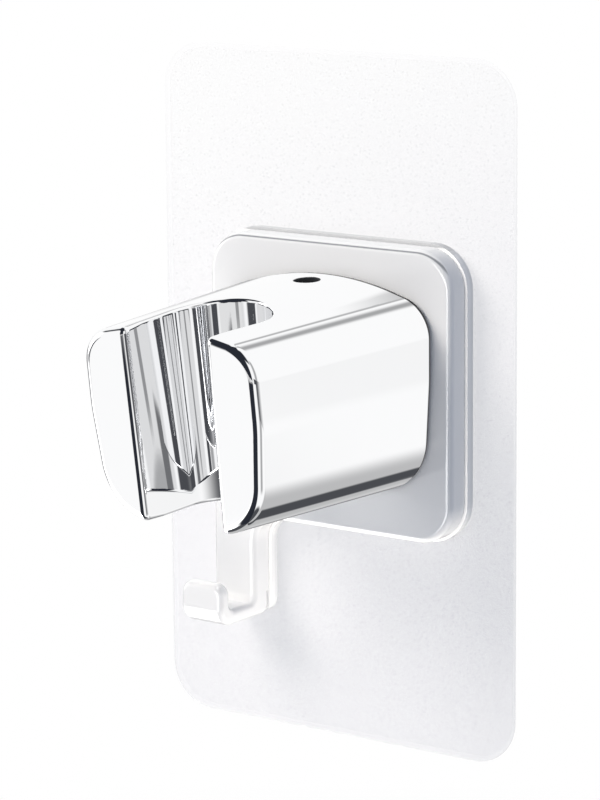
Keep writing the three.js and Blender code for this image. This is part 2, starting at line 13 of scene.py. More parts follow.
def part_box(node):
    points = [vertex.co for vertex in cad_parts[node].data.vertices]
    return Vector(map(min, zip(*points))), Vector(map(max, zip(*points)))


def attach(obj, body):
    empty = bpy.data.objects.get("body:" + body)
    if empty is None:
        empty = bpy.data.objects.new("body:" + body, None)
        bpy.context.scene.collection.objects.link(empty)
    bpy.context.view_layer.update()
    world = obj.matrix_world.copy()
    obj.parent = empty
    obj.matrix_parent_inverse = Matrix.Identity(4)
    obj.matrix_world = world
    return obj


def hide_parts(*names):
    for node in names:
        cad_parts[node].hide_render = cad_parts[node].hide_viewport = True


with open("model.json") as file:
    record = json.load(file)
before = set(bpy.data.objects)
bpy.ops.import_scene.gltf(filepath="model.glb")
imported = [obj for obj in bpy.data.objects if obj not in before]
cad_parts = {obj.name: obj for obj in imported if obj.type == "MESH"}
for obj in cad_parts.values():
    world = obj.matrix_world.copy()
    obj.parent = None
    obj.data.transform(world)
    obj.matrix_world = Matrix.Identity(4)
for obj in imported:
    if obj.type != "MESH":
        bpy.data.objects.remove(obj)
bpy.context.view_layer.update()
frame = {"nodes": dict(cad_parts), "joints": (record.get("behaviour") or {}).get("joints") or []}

bl_info = {
    "name": "Shower Head Holder",
    "version": (1, 0, 0),
    "blender": (4, 5, 0),
    "location": "3D View > Sidebar > Holder",
    "description": "Builds the finished surfaces of a stick-on shower head holder",
    "category": "Object",
}

EDGE_LAMP = "edge_lamp"
FILL_LAMP = "fill_lamp"
STRAP_LAMP = "strap_lamp"
LEDGE_LAMP = "ledge_lamp"
SWIVEL = Vector(frame["joints"][0]["pos_m"])
PLATE_LOW, PLATE_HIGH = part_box("base_plate")
FILM_LOW, FILM_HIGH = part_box("adhesive_film")
PLATE_FRONT = -SWIVEL.y
CRADLE_BACK = -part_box("cradle")[1].y
AT_PLATE, AT_FACE = 0, 1
SCREWS_PER_SET = 4
WHITE = (1, 1, 1)
DEGREES = math.degrees(1)

# Meshing: a field's slope is taken over a short step, and its skin is settled and made finer in rounds
SLOPE_STEP = 2e-5
LEAST_STEEPNESS = 0.05
TINY = 1e-9
SETTLE_ROUNDS = 4
REFINE_ROUNDS = 3
CORNER_STEPS = 14
EDGE_SEGMENTS = 3
FLOOR_SEGMENTS = 96

# Share of the way from plate to face over which the cradle's section is carried on
SECTION_RUN = (-0.05, 1.1)

# Places between which the painted shade on the plate, the backing and the film changes, in metres
STRAP_CHANGE = (-0.034, -0.026)
CREST_CHANGE = (-0.02, 0.0)
LEDGE_CHANGE = (-0.0003, 0.0001)
FOOT_CHANGE = (-0.0027, -0.0023)
FILM_CHANGE = (-0.01, 0.08)


def length(name, description, default):
    """A property that holds a length in metres."""
    return FloatProperty(name=name, description=description, default=default, unit="LENGTH", precision=5)


def ends(name, description, at_plate, at_face):
    """A property that holds a length at the plate and the same length at the face, in metres."""
    return FloatVectorProperty(
        name=name, description=description + ", at the plate and at the face",
        default=(at_plate, at_face), size=2, unit="LENGTH", precision=5,
    )


def angle(name, description, degrees):
    """A property that holds an angle, given in degrees."""
    turn = math.radians(degrees)
    return FloatProperty(name=name, description=description, default=turn, subtype="ANGLE")


def spot(name, description, default):
    """A property that holds a place in metres."""
    return FloatVectorProperty(name=name, description=description, default=default, unit="LENGTH")


def share(name, description, default):
    """A property that holds a plain number from nothing to one, or a light level."""
    return FloatProperty(name=name, description=description, default=default, min=0, precision=3)


def tint(name, description, default):
    """A property that holds a colour."""
    return FloatVectorProperty(
        name=name, description=description, default=default, subtype="COLOR", size=3, min=0, max=1
    )


class SharedSizes:
    """Sizes that the cradle and the plate both have."""

    boss_radius: length("Boss radius", "Radius of the screw bosses", 0.0035)
    pilot_radius: length("Pilot radius", "Radius of the holes in the screw bosses", 0.0015)
    facet: length("Facet", "Side of one facet of the mesh", 0.0008)
    finest: length("Finest facet", "Side below which only sharp bends are made finer", 0.00024)


class CradleSizes(SharedSizes, PropertyGroup):
    """Sizes of the chrome cradle, measured from the swivel axis."""

    peak: ends("Crown", "Height where the roof slopes would meet", 0.0255, 0.02135)
    shoulder_x: ends("Half width", "Half width of the cradle", 0.0250, 0.0205)
    shoulder_up: ends("Shoulder", "Height of the shoulder", 0.01835, 0.01705)
    shoulder_round: ends("Shoulder round", "Radius of the shoulder", 0.0080, 0.0075)
    waist: ends("Waist", "Height where the flank starts to lean in", 0.00385, 0.00225)
    foot_x: ends("Half foot", "Half width of the underside", 0.0237, 0.0183)
    foot_up: ends("Underside", "Height of the underside", -0.01935, -0.0200)
    foot_round: ends("Foot round", "Radius of the lower edge", 0.0115, 0.0120)
    crown_round: length("Crown round", "Radius of the crown along the top", 0.060)
    waist_round: length("Waist round", "Radius at which the flank turns inwards", 0.0400)
    reach: length("Reach", "From the plate's front to the face, at the swivel's height", 0.0504)
    face_tilt: angle("Face tilt", "How far the face and the bore lean forward", 7.5)
    face_round: length("Face edge", "Radius of the edge round the face", 0.0016)
    back_round: length("Back edge", "Radius of the edge next to the plate", 0.0005)
    slot_round: length("Slot edge", "Radius of the slot's edges in the face", 0.0014)
    rim_round: length("Bore rim", "Radius of the bore's rim in the crown", 0.0008)
    rim_fade: length("Rim fade", "Length over which the slot's edge turns into the bore's rim", 0.0060)
    wall: length("Wall", "Thickness of the wall round the hollow", 0.0024)
    bore_setback: length("Bore setback", "From the bore's axis to the face", 0.0163)
    bore_top: length("Bore at the top", "Radius of the bore at the crown", 0.0110)
    bore_bottom: length("Bore at the bottom", "Radius of the bore at the underside", 0.0098)
    slot_top: length("Half slot at the top", "Half width of the slot at the crown", 0.0095)
    slot_bottom: length("Half slot at the bottom", "Half width of the slot at the underside", 0.0089)
    cap: length("Cap", "Thickness of the cap that closes the hollow", 0.0025)
    boss_x: length("Boss across", "Sideways place of the four screw bosses", 0.0160)
    boss_up: length("Boss height", "Upward place of the four screw bosses", 0.0090)
    pilot_depth: length("Pilot depth", "Depth of the holes in the screw bosses", 0.0070)
    lock_radius: length("Lock hole radius", "Radius of the hole in the crown", 0.0026)
    lock_depth: length("Lock hole place", "From the plate's front to the hole in the crown", 0.0070)
    lock_floor: length("Lock hole floor", "Height at which the hole in the crown ends", 0.0170)
    lock_edge: length("Lock hole edge", "Radius of the edge of the hole in the crown", 0.0003)
    # Place of the painted contact shadow, a dark line on the chrome along its edge next to the plate
    seam: length("Seam", "Width of the unplated line next to the plate", 0.0006)
    contact_shadow_top: length("Seam on top", "How much wider that line is on the crown", 0.0005)
    contact_shadow_blur: length("Seam blur", "Half the width over which that line fades", 0.0001)
    bend: angle("Bend", "Turn over one edge from which the mesh is made finer", 2.5)
    sharp: angle("Sharp bend", "Turn over one edge that is always made finer", 12)


class PlateSizes(SharedSizes, PropertyGroup):
    """Sizes of the white plate, its hook and the film."""

    depth: length("Plate depth", "Depth of the front moulding", 0.0050)
    corner: length("Plate corner", "Radius of the plate's corners", 0.0082)
    edge: length("Plate edge", "Radius of the plate's front edge and the hook's edges", 0.0013)
    back_edge: length("Back edge", "Radius of the edge against the backing plate", 0.0003)
    front_wall: length("Front wall", "Thickness of the front wall over the pocket", 0.0022)
    rim_wall: length("Rim wall", "Thickness of the wall round the pocket", 0.0024)
    seat: length("Seat", "Half width of the square seat of the spigot", 0.0133)
    seat_wall: length("Seat wall", "Thickness of the wall round the seat", 0.0016)
    spigot_hole: length("Spigot hole", "Radius of the hole for the spigot", 0.0083)
    boss_place: length("Boss place", "From the plate's centre to its screw bosses", 0.0225)
    strap_width: length("Strap width", "Width of the strap and the hook", 0.0105)
    strap_fillet: length("Strap fillet", "Radius where the strap meets the plate", 0.0055)
    hook_wall: length("Hook wall", "Thickness of the hook", 0.0032)
    hook_lip: length("Hook lip", "Height of the lip above the hook's floor", 0.0059)
    lip_bend: length("Lip bend", "Outer radius of the bend into the lip", 0.0042)
    strap_bend: length("Strap bend", "Outer radius of the bend behind the strap", 0.0020)
    inner_bend: length("Inner bend", "Inner radius of the hook's two bends", 0.0016)
    lip_corner: length("Lip corner", "Radius of the lip's top corners", 0.0026)
    backing_edge: length("Backing edge", "Radius of the backing plate's edges", 0.0003)
    backing_bend: angle("Backing bend", "Turn over an edge from which the backing plate is rounded", 40)
    film_corner: length("Film corner", "Radius of the film's corners", 0.0095)
    film_edge: length("Film edge", "Radius of the film's edges", 0.00025)
    film_gap: length("Film gap", "Gap from the film to the adhesive and to the pad", 0.00003)
    bend: angle("Bend", "Turn over one edge from which the mesh is made finer", 3)
    sharp: angle("Sharp bend", "Turn over one edge that is always made finer", 15)


class HolderColours(PropertyGroup):
    """Colours of the finishes, and how much the film hides."""

    chrome: tint("Chrome", "Mirror chrome plating", (0.965, 0.968, 0.975))
    # Near-black of the painted shade in the crown's hole and of the painted contact shadow next to the plate
    shade_black: tint("Bare moulding", "Unplated moulding in the crown's hole and the seam", (0.020, 0.021, 0.024))
    plastic: tint("White plastic", "Glossy white moulding", (0.90, 0.90, 0.905))
    # Dark grey of the painted shade on the white plate and backing
    painted_shade_grey: tint("Dull plastic", "White moulding along its fine lines", (0.28, 0.29, 0.31))
    film: tint("Film", "Milky clear film", (0.93, 0.915, 0.955))
    # The film's cut edge is lighter and clearer than the film, a painted highlight along the edge
    film_rim_highlight: tint("Film edge", "Cut edge of the film", (0.97, 0.97, 0.975))
    # Cover where the film's painted shade is strongest, towards the lower right
    film_cover: share("Film cover", "How much the film hides where it is milkiest", 0.225)
    rim_cover: share("Film edge cover", "How much the film's cut edge hides", 0.18)
    tack: tint("Adhesive", "Clear tacky gel", (0.93, 0.93, 0.91))
    foam: tint("Foam", "Closed-cell foam tape", (0.82, 0.82, 0.83))
    steel: tint("Steel", "Bright zinc plating", (0.62, 0.63, 0.65))
    acetal: tint("Acetal", "Natural moulding", (0.70, 0.71, 0.71))
    rubber: tint("Rubber", "Matt black rubber", (0.025, 0.025, 0.027))
    brass: tint("Brass", "Turned brass", (0.60, 0.43, 0.17))
    floor: tint("Floor", "Plain pale floor", (0.88, 0.88, 0.88))
    room: tint("Room", "Even light of the room", (0.74, 0.825, 1.0))
    lamps: tint("Lamps", "Light of the lamps", (1.0, 0.95, 0.87))
    card: tint("Dark card", "Dark cards that the chrome reflects", (0.022, 0.025, 0.034))


class StudioSettings(PropertyGroup):
    """Camera and light."""

    camera: spot("Camera", "Place of the camera", (0.39284, -0.55373, 0.13650))
    target: spot("Target", "Point that the camera looks at", (-0.0098, 0.0, -0.00152))
    roll: angle("Roll", "Turn of the camera about its own axis", -0.55)
    lens: FloatProperty(name="Lens", description="Focal length in millimetres", default=153.0)
    near: length("Near limit", "Nearest distance that the camera shows", 0.01)
    room_light: share("Room light", "Level of the even light from all round", 0.40)
    strip_light: share("Strip light", "Level of the bright strips that the edges reflect", 6.0)
    key_light: share("Key light", "Level of the large lamp", 0.98)
    key_place: spot("Key lamp", "Place of the large lamp", (-0.55, -0.78, 0.75))
    key_size: length("Key size", "Side of the large lamp", 0.70)
    fill_light: share("Fill light", "Level of the low lamp", 0.14)
    fill_place: spot("Fill lamp", "Place of the low lamp", (0.0, -0.07, -0.13))
    fill_size: length("Fill size", "Side of the low lamp", 0.08)
    strap_light: share("Strap light", "Level of the lamp beside the strap", 0.50)
    strap_place: spot("Strap lamp", "Place of the lamp beside the strap", (0.030, -0.0078, -0.085))
    strap_size: length("Strap lamp size", "Side of the lamp beside the strap", 0.03)
    ledge_light: share("Ledge light", "Level of the lamp for the backing plate's ledge", 0.65)
    ledge_place: spot("Ledge lamp", "Place of the lamp for the ledge", (0.0, -1.0, 0.0))
    ledge_size: length("Ledge lamp size", "Side of the lamp for the ledge", 0.30)
    back_light: share("Back light", "Level of the lamp behind the film", 0.55)
    back_place: spot("Back lamp", "Place of the lamp behind the film", (0.0, 1.0, 0.0))
    back_size: length("Back size", "Side of the lamp behind the film", 0.60)
    edge_place: spot("Edge lamp", "Place of the lamp for the plate's edges", (-0.12, -0.97, -0.19))
    edge_size: length("Edge size", "Side of the lamp for the plate's edges", 0.66)
    reflections: IntProperty(
        name="Reflections", description="How often light is followed from chrome to chrome", default=8, min=1
    )
    floor_drop: length("Floor", "From the origin down to the floor", 0.20)
    floor_radius: length("Floor radius", "Radius of the round floor", 0.45)


class Wire:
    """A socket that can be used as a value in an expression."""

    def __init__(self, desk, socket):
        self.desk = desk
        self.socket = socket

    def part(self, name):
        """Another output of the same node."""
        return Wire(self.desk, self.socket.node.outputs[name])

    def maths(self, operation, *terms):
        """A Math node on this value and the given ones."""
        return self.desk.add("ShaderNodeMath", {"operation": operation}, dict(enumerate((self, *terms))))

    def swapped(self, operation, first):
        """A Math node with this value as its second."""
        return self.desk.add("ShaderNodeMath", {"operation": operation}, {0: first, 1: self})

    def __add__(self, other):
        return self.maths("ADD", other)

    def __radd__(self, other):
        return self.swapped("ADD", other)

    def __sub__(self, other):
        return self.maths("SUBTRACT", other)

    def __rsub__(self, other):
        return self.swapped("SUBTRACT", other)

    def __mul__(self, other):
        return self.maths("MULTIPLY", other)

    def __rmul__(self, other):
        return self.swapped("MULTIPLY", other)

    def __neg__(self):
        return self.maths("MULTIPLY", -1.0)

    def most(self, *others):
        """The largest of this value and the others."""
        largest = self
        for other in others:
            largest = largest.maths("MAXIMUM", other)
        return largest

    def smooth(self, low, high):
        """Nothing below low, one above high, with a soft step between."""
        return self.desk.add(
            "ShaderNodeMapRange",
            {"interpolation_type": "SMOOTHSTEP"},
            {"Value": self, "From Min": low, "From Max": high},
        )

    def band(self, low, high, soft):
        """One between low and high, with soft ends."""
        return self.smooth(low - soft, low + soft) * (1 - self.smooth(high - soft, high + soft))


class Desk:
    """The node tree of a material or a world, and the one method that adds nodes to it."""

    def __init__(self, owner):
        owner.use_nodes = True
        self.owner = owner
        self.tree = owner.node_tree
        self.tree.nodes.clear()

    def add(self, kind, settings=None, sockets=None, output=0):
        """A node with its settings set first, then its socket values or links."""
        node = self.tree.nodes.new(kind)
        for name, value in (settings or {}).items():
            setattr(node, name, value)
        for key, value in (sockets or {}).items():
            if isinstance(value, Wire):
                self.tree.links.new(value.socket, node.inputs[key])
            else:
                node.inputs[key].default_value = value
        return Wire(self, node.outputs[output] if len(node.outputs) else None)

    def noise(self, place, scale, detail):
        """Noise from nothing to one."""
        return self.add("ShaderNodeTexNoise", {}, {"Vector": place, "Scale": scale, "Detail": detail})

    def cells(self, place, scale):
        """Distance to the middle of the nearest of many small cells."""
        return self.add("ShaderNodeTexVoronoi", {}, {"Vector": place, "Scale": scale}, "Distance")

    def blend(self, factor, first, second):
        """A colour between two others."""
        sockets = {0: factor, 6: rgba(first), 7: rgba(second)}
        return self.add("ShaderNodeMix", {"data_type": "RGBA"}, sockets, 2)

    def bump(self, height, strength, distance):
        """A normal from a height."""
        sockets = {"Height": height, "Strength": strength, "Distance": distance}
        return self.add("ShaderNodeBump", {}, sockets)

    def axis(self, vector, name):
        """One component of a vector."""
        return self.add("ShaderNodeSeparateXYZ", {}, {"Vector": vector}, name)

    def finish(self, sockets):
        """The material, with a Principled shader that gets the given values."""
        shader = self.add("ShaderNodeBsdfPrincipled", {}, sockets)
        self.add("ShaderNodeOutputMaterial", {}, {"Surface": shader})
        return self.owner


def rgba(colour):
    """A colour with full cover, for a colour socket."""
    return colour if isinstance(colour, Wire) else (*colour, 1.0)


def shade(colour, amount):
    """The same colour, darker or lighter."""
    return tuple(min(1.0, channel * amount) for channel in colour)


def new_desk(name):
    """The node tree of a new material, and its object coordinates."""
    desk = Desk(bpy.data.materials.new(name))
    return desk, desk.add("ShaderNodeTexCoord", {}, {}, "Object")


def chrome_finish(colours, sizes):
    """Mirror plating with the faint haze that handling leaves, and a painted contact shadow: a dark line
    along its edge next to the plate.
    """
    desk, place = new_desk("chrome_plating")
    haze = desk.noise(place, 90.0, 3.0)
    streaks = desk.noise(place, 700.0, 2.0)
    plating = desk.blend(haze, shade(colours.chrome, 0.985), colours.chrome)
    upward = desk.axis(place.part("Normal"), "Z").most(0.0)
    # Painted shade: the chrome turns near-black in a thin line next to the plate, wider on the crown
    depth = desk.axis(place, "Y") + (CRADLE_BACK + sizes.seam) + sizes.contact_shadow_top * upward
    seam = depth.smooth(-sizes.contact_shadow_blur, sizes.contact_shadow_blur)
    return desk.finish({
        "Base Color": desk.blend(seam, plating, colours.shade_black),
        "Roughness": 0.012 + 0.02 * haze * streaks,
        "Metallic": 1.0,
    })


def shade_black_finish(colours):
    """Near-black matt finish with a grain, painted shade inside the crown's hole."""
    desk, place = new_desk("shade_black_moulding")
    grain = desk.noise(place, 1800.0, 3.0)
    return desk.finish({
        "Base Color": desk.blend(grain, colours.shade_black, shade(colours.shade_black, 1.6)),
        "Roughness": 0.55 + 0.2 * grain,
        "Normal": desk.bump(grain, 0.2, 0.00004),
    })


def plastic_finish(colours, name, lines):
    """Glossy moulding with a slightly uneven skin, and painted shade in dark grey where the given function
    draws it.
    """
    desk, place = new_desk(name)
    flow = desk.noise(place, 60.0, 2.0)
    skin = desk.noise(place, 1500.0, 2.0)
    white = desk.blend(flow, shade(colours.plastic, 0.985), colours.plastic)
    return desk.finish({
        "Base Color": desk.blend(lines(desk, place), white, colours.painted_shade_grey),
        "Roughness": 0.09 + 0.05 * flow,
        "Coat Weight": 0.55 + 0.1 * flow,
        "Normal": desk.bump(skin, 0.04, 0.00003),
    })


def plate_painted_shade(desk, place):
    """Painted shade: a dark line along the plate's upper front edge, and a slightly darker strap."""
    normal = place.part("Normal")
    height = desk.axis(place, "Z")
    crest = desk.axis(normal, "Z").band(0.44, 0.66, 0.08) * (-desk.axis(normal, "Y")).smooth(0.3, 0.5)
    strap = 1 - height.smooth(*STRAP_CHANGE)
    upper_part = height.smooth(*CREST_CHANGE)
    return (0.95 * crest * upper_part).most(0.10 * strap)


def backing_painted_shade(desk, place):
    """Painted shade: a darker upper rim and ledge, and a faint darker line next to the film."""
    rim = desk.axis(place.part("Normal"), "Z").smooth(0.75, 0.95)
    ledge = (desk.axis(place, "Z") - PLATE_HIGH.z).smooth(*LEDGE_CHANGE)
    foot = desk.axis(place, "Y").smooth(*FOOT_CHANGE)
    return (0.75 * rim.most(ledge)).most(0.15 * foot)


def film_finish(name, colour, cover):
    """Milky clear film with a faint cloud, clearer towards its upper left corner; its growing cover towards
    the lower right is painted shade.
    """
    desk, place = new_desk(name)
    cloud = desk.noise(place, 420.0, 4.0)
    grain = desk.noise(place, 900.0, 2.0)
    slant = desk.axis(place, "Z") - 0.35 * desk.axis(place, "X")
    # Painted shade: more cover towards the lower right, where the film lies in shade
    shade_spread = 1 - slant.smooth(*FILM_CHANGE)
    return desk.finish({
        "Base Color": desk.blend(cloud, shade(colour, 0.995), colour),
        "Roughness": 0.26 + 0.04 * cloud,
        "Alpha": 0.03 + cover * shade_spread + 0.003 * cloud,
        "Normal": desk.bump(grain, 0.05, 0.00004),
    })


def tack_finish(colours):
    """Clear gel with fine trapped bubbles."""
    desk, place = new_desk("clear_adhesive")
    bubbles = desk.cells(place, 900.0)
    spots = 1 - bubbles.smooth(0.12, 0.28)
    return desk.finish({
        "Base Color": desk.blend(spots, colours.tack, shade(colours.tack, 1.05)),
        "Roughness": 0.35 + 0.3 * spots,
        "Alpha": 0.05 + 0.10 * spots,
        "Normal": desk.bump(bubbles, 0.2, 0.0001),
    })


def foam_finish(colours):
    """Closed-cell foam tape."""
    desk, place = new_desk("foam_tape")
    cells = desk.cells(place, 2600.0)
    return desk.finish({
        "Base Color": desk.blend(cells.smooth(0.1, 0.7), colours.foam, shade(colours.foam, 0.86)),
        "Roughness": 0.82 + 0.12 * cells,
        "Normal": desk.bump(cells, 0.5, 0.0001),
    })


def steel_finish(colours):
    """Bright plated steel with turning marks."""
    desk, place = new_desk("plated_steel")
    marks = desk.noise(place, 2200.0, 3.0)
    bloom = desk.noise(place, 350.0, 2.0)
    return desk.finish({
        "Base Color": desk.blend(bloom, shade(colours.steel, 0.86), shade(colours.steel, 1.06)),
        "Roughness": 0.2 + 0.2 * marks,
        "Metallic": 1.0,
        "Normal": desk.bump(marks, 0.15, 0.00003),
    })


def acetal_finish(colours):
    """Natural moulding with a waxy, slightly mottled skin."""
    desk, place = new_desk("natural_acetal")
    mottle = desk.noise(place, 240.0, 3.0)
    skin = desk.noise(place, 2400.0, 2.0)
    return desk.finish({
        "Base Color": desk.blend(mottle, shade(colours.acetal, 0.94), shade(colours.acetal, 1.04)),
        "Roughness": 0.38 + 0.16 * mottle,
        "Normal": desk.bump(skin, 0.15, 0.00004),
    })


def rubber_finish(colours):
    """Matt rubber with a dusty bloom."""
    desk, place = new_desk("matt_rubber")
    bloom = desk.noise(place, 800.0, 4.0)
    return desk.finish({
        "Base Color": desk.blend(bloom, colours.rubber, shade(colours.rubber, 2.2)),
        "Roughness": 0.6 + 0.25 * bloom,
        "Normal": desk.bump(bloom, 0.3, 0.00006),
    })


def brass_finish(colours):
    """Turned brass with fine rings along its upright axis."""
    desk, place = new_desk("turned_brass")
    rings = desk.add(
        "ShaderNodeTexWave",
        {"bands_direction": "Z"},
        {"Vector": place, "Scale": 900.0, "Distortion": 1.5, "Detail": 2.0},
        "Fac",
    )
    return desk.finish({
        "Base Color": desk.blend(rings, shade(colours.brass, 0.85), shade(colours.brass, 1.1)),
        "Roughness": 0.24 + 0.16 * rings,
        "Metallic": 1.0,
        "Normal": desk.bump(rings, 0.25, 0.00004),
    })


def finish_node(node, material):
    """Gives a CAD node's own object a material."""
    piece = frame["nodes"][node]
    if not piece.material_slots:
        piece.data.materials.append(None)
    for place in piece.material_slots:
        place.material = material
    return piece


def rounded(first, second, radius):
    """Field of what lies inside both of two fields, with a round edge between them."""
    a = np.maximum(first + radius, 0)
    b = np.maximum(second + radius, 0)
    return np.minimum(np.maximum(first, second), -radius) + np.hypot(a, b)


def rounded_corner(first, second, radius, lean):
    """The same for two planes whose outward normals have the given cosine, as a true arc."""
    a = first + radius
    b = second + radius
    inside_corner = (a > lean * b) & (b > lean * a)
    spread = np.maximum(a * a + b * b - 2 * lean * a * b, 0) / (1 - lean * lean)
    return np.where(inside_corner, np.sqrt(spread) - radius, np.maximum(first, second))


def joined(first, second, radius):
    """Field of what lies inside either of two fields, with a hollow fillet between them."""
    a = np.maximum(radius - first, 0)
    b = np.maximum(radius - second, 0)
    return np.maximum(np.minimum(first, second), radius) - np.hypot(a, b)


def rounded_box(across, up, half_width, half_height, radius):
    """Field of a flat rectangle with round corners."""
    a = np.abs(across) - (half_width - radius)
    b = np.abs(up) - (half_height - radius)
    return np.hypot(np.maximum(a, 0), np.maximum(b, 0)) + np.minimum(np.maximum(a, b), 0) - radius


def cradle_section(sizes, across, up, along):
    """Field of the cradle's cross-section, from 0 at the plate to 1 at the face."""
    def between(pair):
        return pair[AT_PLATE] + (pair[AT_FACE] - pair[AT_PLATE]) * along

    peak = between(sizes.peak)
    shoulder_x = between(sizes.shoulder_x)
    shoulder_up = between(sizes.shoulder_up)
    waist = between(sizes.waist)
    foot_x = between(sizes.foot_x)
    foot_up = between(sizes.foot_up)
    roof_angle = np.arctan2(peak - shoulder_up, shoulder_x)
    roof_sine = np.sin(roof_angle)
    roof_cosine = np.cos(roof_angle)
    slope = across * roof_sine + (up - peak) * roof_cosine
    crown_centre = peak - sizes.crown_round / roof_cosine
    crown = np.hypot(across, up - crown_centre) - sizes.crown_round
    roof = np.where(across * roof_cosine < (up - crown_centre) * roof_sine, crown, slope)
    flank_angle = np.arctan2(shoulder_x - foot_x, waist - foot_up)
    flank_sine = np.sin(flank_angle)
    flank_cosine = np.cos(flank_angle)
    upper = across - shoulder_x
    lower = (across - shoulder_x) * flank_cosine - (up - waist) * flank_sine
    flank = rounded_corner(upper, lower, sizes.waist_round, flank_cosine)
    top = rounded_corner(roof, flank, between(sizes.shoulder_round), roof_sine)
    return rounded_corner(top, foot_up - up, between(sizes.foot_round), flank_sine)


def cradle_channel(sizes, across, up, out):
    """Field of the conical bore and the slot that runs from it through the face."""
    face_depth = PLATE_FRONT + sizes.reach
    axis_depth = face_depth - sizes.bore_setback
    tilt_sine = math.sin(sizes.face_tilt)
    tilt_cosine = math.cos(sizes.face_tilt)
    top = sizes.peak[AT_PLATE]
    bottom = sizes.foot_up[AT_FACE]
    middle = (top + bottom) / 2
    axis_middle = axis_depth + math.tan(sizes.face_tilt) * middle
    ahead = (out - axis_middle) * tilt_cosine - (up - middle) * tilt_sine
    climb = (out - axis_middle) * tilt_sine + (up - middle) * tilt_cosine
    level = climb / (top - bottom) + 0.5
    radius = sizes.bore_bottom + (sizes.bore_top - sizes.bore_bottom) * level
    mouth = sizes.slot_bottom + (sizes.slot_top - sizes.slot_bottom) * level
    run = sizes.bore_setback * tilt_cosine
    close = (run - np.sqrt(run * run - 2 * radius * (radius - mouth))) / radius
    close_sine = np.sin(close)
    close_cosine = np.cos(close)
    wall = across * close_cosine + ahead * close_sine - radius
    bore = np.hypot(across, ahead) - radius
    return np.where(ahead * close_cosine > across * close_sine, wall, bore)


def cradle_field(sizes, points):
    """Field of the whole cradle, at points given across, up and out from the swivel axis."""
    across, up, out = points.T
    across = np.abs(across)
    face = PLATE_FRONT + sizes.reach + math.tan(sizes.face_tilt) * up
    along = np.clip((out - CRADLE_BACK) / (face - CRADLE_BACK), *SECTION_RUN)
    outer = cradle_section(sizes, across, up, along)
    front = (out - face) * math.cos(sizes.face_tilt)
    body = rounded(outer, front, sizes.face_round)
    body = rounded(body, CRADLE_BACK - out, sizes.back_round)
    channel = cradle_channel(sizes, across, up, out)
    nearness = np.clip((out - face) / sizes.rim_fade + 1, 0, 1)
    rim = sizes.rim_round + (sizes.slot_round - sizes.rim_round) * nearness
    body = rounded(body, -channel, rim)
    cap_front = CRADLE_BACK + sizes.cap
    axis_depth = PLATE_FRONT + sizes.reach - sizes.bore_setback
    bore_foot = axis_depth + math.tan(sizes.face_tilt) * sizes.foot_up[AT_PLATE]
    hollow_end = bore_foot - sizes.bore_bottom - sizes.wall
    boss_reach = np.hypot(across - sizes.boss_x, np.abs(up) - sizes.boss_up)
    boss = np.maximum(boss_reach - sizes.boss_radius, cap_front - out)
    hollow = np.maximum(np.maximum(outer + sizes.wall, out - hollow_end), -boss)
    pilot = np.maximum(boss_reach - sizes.pilot_radius, out - cap_front - sizes.pilot_depth)
    body = np.maximum(np.maximum(body, -hollow), -pilot)
    lock = np.hypot(across, out - PLATE_FRONT - sizes.lock_depth) - sizes.lock_radius
    lock = np.maximum(lock, sizes.lock_floor - up)
    return rounded(body, -lock, sizes.lock_edge)


def plate_field(sizes, points):
    """Field of the white moulding, at points given across, up and out from the wall."""
    across, up, out = points.T
    left = PLATE_LOW.x
    half = (PLATE_HIGH.x - left) / 2
    centre_x = left + half
    centre_up = PLATE_HIGH.z - half
    back = -PLATE_HIGH.y
    front = back + sizes.depth
    underside = PLATE_LOW.z
    floor = underside + sizes.hook_wall
    lip_front = -PLATE_LOW.y
    lip_back = lip_front - sizes.hook_wall
    lip_top = floor + sizes.hook_lip
    square = rounded_box(across - centre_x, up - centre_up, half, half, sizes.corner)
    strap_end = floor + sizes.inner_bend
    strap = np.maximum(across - left - sizes.strap_width, np.maximum(strap_end - up, up - centre_up))
    outline = np.maximum(joined(square, strap, sizes.strap_fillet), left - across)
    plate = rounded(outline, out - front, sizes.edge)
    plate = rounded(plate, back - out, sizes.back_edge)
    spot_x = np.abs(across - centre_x)
    spot_up = np.abs(up - centre_up)
    inset = half - sizes.rim_wall
    pocket = rounded_box(spot_x, spot_up, inset, inset, sizes.corner - sizes.rim_wall)
    pocket_floor = front - sizes.front_wall
    seat = np.maximum(spot_x, spot_up) - sizes.seat
    seat_ring = np.maximum(seat - sizes.seat_wall, -seat)
    boss_reach = np.hypot(spot_x - sizes.boss_place, spot_up - sizes.boss_place)
    ribs = np.minimum(seat_ring, boss_reach - sizes.boss_radius)
    pocket = np.maximum(np.maximum(pocket, out - pocket_floor), -ribs)
    pilot = np.maximum(boss_reach - sizes.pilot_radius, out - pocket_floor)
    spigot_hole = np.hypot(spot_x, spot_up) - sizes.spigot_hole
    plate = np.maximum(np.maximum(plate, -pocket), -np.minimum(pilot, spigot_hole))
    hook_top = lip_top + sizes.lip_corner
    outer_middle = (back + lip_front) / 2
    outer_height = hook_top + 2 * sizes.lip_bend - underside
    bend = np.where(out > outer_middle, sizes.lip_bend, sizes.strap_bend)
    outer = rounded_box(
        out - outer_middle, up - underside - outer_height / 2,
        (lip_front - back) / 2, outer_height / 2, bend,
    )
    inner = rounded_box(
        out - (front + lip_back) / 2, up - floor - outer_height / 2,
        (lip_back - front) / 2, outer_height / 2, sizes.inner_bend,
    )
    side = np.abs(across - left - sizes.strap_width / 2) - sizes.strap_width / 2
    lip_side = rounded(side, up - lip_top, sizes.lip_corner)
    strap_side = np.maximum(side, up - lip_top)
    bounds = np.where(out > (front + lip_back) / 2, lip_side, strap_side)
    hook = rounded(np.maximum(outer, -inner), bounds, sizes.edge)
    return np.minimum(plate, hook)


def field_slope(field, points):
    """Gradient of a field at points."""
    slope = np.empty_like(points)
    for axis in range(3):
        step = np.zeros(3)
        step[axis] = SLOPE_STEP
        slope[:, axis] = (field(points + step) - field(points - step)) / (2 * SLOPE_STEP)
    return slope


